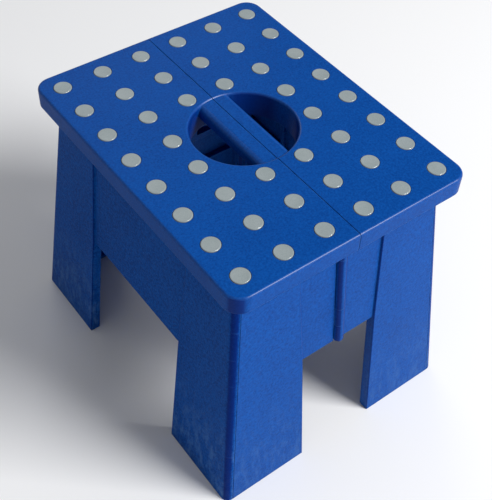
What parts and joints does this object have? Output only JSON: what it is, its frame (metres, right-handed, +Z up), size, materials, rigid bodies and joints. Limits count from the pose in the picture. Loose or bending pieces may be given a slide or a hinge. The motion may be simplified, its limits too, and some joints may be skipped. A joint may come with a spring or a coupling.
{
  "type": "folding step stool",
  "caption": "Low folding step stool with splayed panel legs, hinged end panels and a dotted non-slip top split along a carrying bar in an oval hand opening.",
  "frame": {"origin": "on the floor, under the centre of the top, with the stool standing open", "axes": "+Z up, X across the width (the way it folds), Y along the crease; the left side panel is at -X and the front end at -Y"},
  "size_m": [0.2628, 0.33, 0.2707],
  "materials": {
    "blue_plastic": "semi-gloss moulded polypropylene with a fine grain",
    "grip_rubber": "matt light grey soft plastic",
    "rod_steel": "drawn steel rod"
  },
  "bodies": {
    "left_side": {"side_panel_left": "blue_plastic", "corner_rod_front_left": "rod_steel", "corner_rod_back_left": "rod_steel", "top_rod_left": "rod_steel"},
    "right_side": {"side_panel_right": "blue_plastic", "corner_rod_front_right": "rod_steel", "corner_rod_back_right": "rod_steel", "top_rod_right": "rod_steel"},
    "front_left_end": {"end_panel_front_left": "blue_plastic", "centre_rod_front": "rod_steel"},
    "front_right_end": {"end_panel_front_right": "blue_plastic"},
    "back_left_end": {"end_panel_back_left": "blue_plastic", "centre_rod_back": "rod_steel"},
    "back_right_end": {"end_panel_back_right": "blue_plastic"},
    "left_top": {"top_half_left": "blue_plastic", "grip_dots_left": "grip_rubber", "crease_rod_front": "rod_steel", "crease_rod_back": "rod_steel"},
    "right_top": {"top_half_right": "blue_plastic", "grip_dots_right": "grip_rubber"}
  },
  "joints": [
    {"name": "corner_front_left", "type": "hinge", "parent": "left_side", "child": "front_left_end", "pos_m": [-0.11008, -0.14119, 0.12], "axis": [0.0889, 0.114, 0.9895], "range_deg": [0, 80]},
    {"name": "centre_front", "type": "hinge", "parent": "front_left_end", "child": "front_right_end", "pos_m": [0, -0.13857, 0.2], "axis": [0, 0.1201, 0.9928], "range_deg": [-159.2, 0]},
    {"name": "corner_front_right", "type": "hinge", "parent": "front_right_end", "child": "right_side", "pos_m": [0.11008, -0.14119, 0.12], "axis": [-0.0889, 0.114, 0.9895], "range_deg": [0, 80.2]},
    {"name": "corner_back_left", "type": "hinge", "parent": "left_side", "child": "back_left_end", "pos_m": [-0.11008, 0.14119, 0.12], "axis": [0.0889, -0.114, 0.9895], "range_deg": [-80.2, 0]},
    {"name": "corner_back_right", "type": "hinge", "parent": "right_side", "child": "back_right_end", "pos_m": [0.11008, 0.14119, 0.12], "axis": [-0.0889, -0.114, 0.9895], "range_deg": [0, 80.2]},
    {"name": "top_hinge_left", "type": "hinge", "parent": "left_side", "child": "left_top", "pos_m": [-0.09912, 0, 0.242], "axis": [0, 1, 0], "range_deg": [-74.5, 0]},
    {"name": "top_hinge_right", "type": "hinge", "parent": "right_side", "child": "right_top", "pos_m": [0.09912, 0, 0.242], "axis": [0, 1, 0], "range_deg": [0, 74.5]}
  ],
  "couplings": [
    {"joint": "centre_front", "follows": "corner_front_left", "ratio": -1.988},
    {"joint": "corner_front_right", "follows": "corner_front_left", "ratio": 1},
    {"joint": "corner_back_left", "follows": "corner_front_left", "ratio": -1},
    {"joint": "corner_back_right", "follows": "corner_front_left", "ratio": 1},
    {"joint": "top_hinge_left", "follows": "corner_front_left", "ratio": -0.9293},
    {"joint": "top_hinge_right", "follows": "corner_front_left", "ratio": 0.9293}
  ]
}
